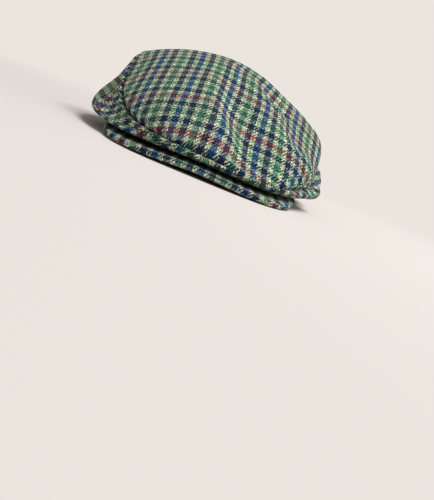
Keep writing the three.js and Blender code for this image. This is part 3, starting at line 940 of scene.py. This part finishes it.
class FlatCapPeak(bpy.types.Operator):
    """Builds the short stiff peak with its rolled edge"""

    bl_idname = "flat_cap.peak"
    bl_label = "Peak"

    def execute(self, context):
        angles = np.linspace(-PEAK_TIP_ANGLE, PEAK_TIP_ANGLE, PEAK_COLUMNS + 1)
        outline = RINGS[RIM]._replace(left=PEAK_LEFT, right=PEAK_RIGHT, front=PEAK_FRONT,
                                      widest=PEAK_WIDEST, square=PEAK_SQUARENESS)
        rim, edge = ring_points(RINGS[RIM], angles), ring_points(outline, angles)
        outwards = unit(edge - rim)
        start = rim + outwards * PEAK_GAP
        full = np.linalg.norm(edge - start, axis=-1)
        narrowing = 1 - np.abs(angles / (PEAK_TIP_ANGLE + PEAK_TIP_ROOM)) ** PEAK_TIP_TAPER
        depth = full * np.sqrt(narrowing)
        height = smooth_between(*zip(*PEAK_EDGE), np.abs(angles))
        height += PEAK_LIFT * smooth_step(angles, *PEAK_LIFT_SPAN)
        radius = PEAK_THICKNESS / 2
        flat_share = 1 - radius / depth
        lower, upper, low_cloth, high_cloth = [], [], [], []
        for i in range(PEAK_ROWS + 1):
            share = flat_share * i / PEAK_ROWS
            lift = height + PEAK_CROWNING * np.sin(np.pi * share)
            base = start + outwards * (share * depth)[:, None]
            lower.append(base * (1, 1, 0) + lift[:, None] * UP)
            upper.append(lower[-1] + UP * PEAK_THICKNESS)
            round_edge = 2 * (flat_share * depth - share * depth) + math.pi * radius
            high_cloth.append(base[:, :2])
            low_cloth.append(base[:, :2] + outwards[:, :2] * round_edge[:, None])
        turns = math.pi * np.arange(1, PEAK_ROUND_STEPS) / PEAK_ROUND_STEPS
        edge_points = [lower[-1] + outwards * radius * math.sin(turn) + UP * radius * (1 - math.cos(turn))
                       for turn in turns]
        edge_cloth = [high_cloth[-1] + outwards[:, :2] * radius * (math.pi - turn) for turn in turns]
        section = [*lower, *edge_points, *upper[::-1]]
        laid = [*low_cloth, *edge_cloth, *high_cloth[::-1]]
        swept_piece(context, "Peak", "peak", section, laid, PEAK_WARP_START, PEAK_WEFT_START)
        return {"FINISHED"}


# ------------------------ stage

class FlatCapStageSet(bpy.types.Operator):
    """Sets up the floor, the backdrop, the soft light and the camera"""

    bl_idname = "flat_cap.stage"
    bl_label = "Stage"

    def execute(self, context):
        stage = context.scene.flat_cap_stage
        self.backdrop(context, stage)
        self.floor(context, stage)
        self.lights(context, stage)
        self.camera(context, stage)
        context.scene.view_settings.view_transform = "Standard"
        return {"FINISHED"}

    def backdrop(self, context, stage):
        world = bpy.data.worlds.new("Backdrop")
        context.scene.world = world
        graph = Graph(world)
        seen = graph.add("ShaderNodeBackground", None, {"Color": (*stage.backdrop, 1.0), "Strength": 1.0})
        light = graph.add("ShaderNodeBackground", None, {
            "Color": (*stage.backdrop, 1.0), "Strength": stage.room_light})
        direct = graph.out(graph.add("ShaderNodeLightPath"), "Is Camera Ray")
        both = graph.add("ShaderNodeMixShader", None, {0: direct, 1: graph.out(light), 2: graph.out(seen)})
        graph.add("ShaderNodeOutputWorld", None, {"Surface": graph.out(both)})

    def floor(self, context, stage):
        material = bpy.data.materials.new("Seamless floor")
        graph = Graph(material)
        position = graph.out(graph.add("ShaderNodeNewGeometry"), "Position")
        length = graph.add("ShaderNodeVectorMath", {"operation": "LENGTH"}, {0: position})
        fade = graph.out(graph.add("ShaderNodeMapRange", {"interpolation_type": "SMOOTHSTEP"}, {
            "Value": graph.out(length, "Value"), "From Min": FADE_FROM, "From Max": FADE_TO}))
        black = (0.0, 0.0, 0.0, 1.0)
        shader = graph.add("ShaderNodeBsdfPrincipled", None, {
            "Base Color": graph.mix(fade, (*stage.floor, 1.0), black),
            "Emission Color": graph.mix(fade, black, (*stage.backdrop, 1.0)),
            "Emission Strength": 1.0, "Roughness": FLOOR_ROUGHNESS, "Specular IOR Level": 0.0})
        graph.add("ShaderNodeOutputMaterial", None, {"Surface": graph.out(shader)})
        angles = np.linspace(0, 2 * np.pi, FLOOR_SIDES + 1)[:-1]
        rim = np.stack([np.cos(angles), np.sin(angles), 0 * angles], axis=-1) * FLOOR_RADIUS
        mesh = bpy.data.meshes.new("Floor")
        mesh.from_pydata(rim.tolist(), [], [list(range(FLOOR_SIDES))])
        mesh.materials.append(material)
        floor = bpy.data.objects.new("Floor", mesh)
        floor.location.z = -FLOOR_DROP
        context.scene.collection.objects.link(floor)

    def lights(self, context, stage):
        for lamp, power in ((KEY_LAMP, stage.key_power), (FILL_LAMP, stage.fill_power)):
            data = bpy.data.lights.new(lamp.name, "AREA")
            data.size = lamp.size
            data.energy = power
            light = bpy.data.objects.new(lamp.name, data)
            light.location = lamp.place
            light.rotation_euler = (LAMP_AIM - Vector(lamp.place)).to_track_quat("-Z", "Y").to_euler()
            context.scene.collection.objects.link(light)

    def camera(self, context, stage):
        data = bpy.data.cameras.new("Camera")
        data.lens = stage.lens
        data.sensor_width = SENSOR_WIDTH
        data.clip_start = NEAREST_SEEN
        camera = bpy.data.objects.new("Camera", data)
        yaw, pitch, roll = stage.camera_yaw, stage.camera_pitch, stage.camera_roll
        forward = Vector((
            math.sin(yaw) * math.cos(pitch), math.cos(yaw) * math.cos(pitch), -math.sin(pitch)))
        right = forward.cross(Vector((0, 0, 1))).normalized()
        up = right.cross(forward)
        across = right * math.cos(roll) + up * math.sin(roll)
        above = up * math.cos(roll) - right * math.sin(roll)
        turn = Matrix((across, above, -forward)).transposed().to_4x4()
        place = Vector((HEAD_MIDDLE.x, HEAD_MIDDLE.y - stage.camera_distance, stage.camera_height))
        camera.matrix_world = Matrix.Translation(place) @ turn
        context.scene.collection.objects.link(camera)
        context.scene.camera = camera


# ------------------------ panel and registration

STEPS = (FlatCapTopPanel, FlatCapSidePanels, FlatCapPeak, FlatCapStageSet)


class FlatCapPanel(bpy.types.Panel):
    """Lists the steps of the cap"""

    bl_idname = "VIEW3D_PT_flat_cap"
    bl_label = "Flat Cap"
    bl_space_type = "VIEW_3D"
    bl_region_type = "UI"
    bl_category = "Flat Cap"

    def draw(self, context):
        for step in STEPS:
            self.layout.operator(step.bl_idname)


CLASSES = (FlatCapCloth, FlatCapStage, *STEPS, FlatCapPanel)


def register():
    for cls in CLASSES:
        bpy.utils.register_class(cls)
    bpy.types.Scene.flat_cap_cloth = PointerProperty(type=FlatCapCloth)
    bpy.types.Scene.flat_cap_stage = PointerProperty(type=FlatCapStage)


def unregister():
    del bpy.types.Scene.flat_cap_stage
    del bpy.types.Scene.flat_cap_cloth
    for cls in reversed(CLASSES):
        bpy.utils.unregister_class(cls)


def main():
    register()
    bpy.ops.flat_cap.top_panel()
    bpy.ops.flat_cap.side_panels()
    bpy.ops.flat_cap.peak()
    bpy.ops.flat_cap.stage()


if __name__ == "__main__":
    main()
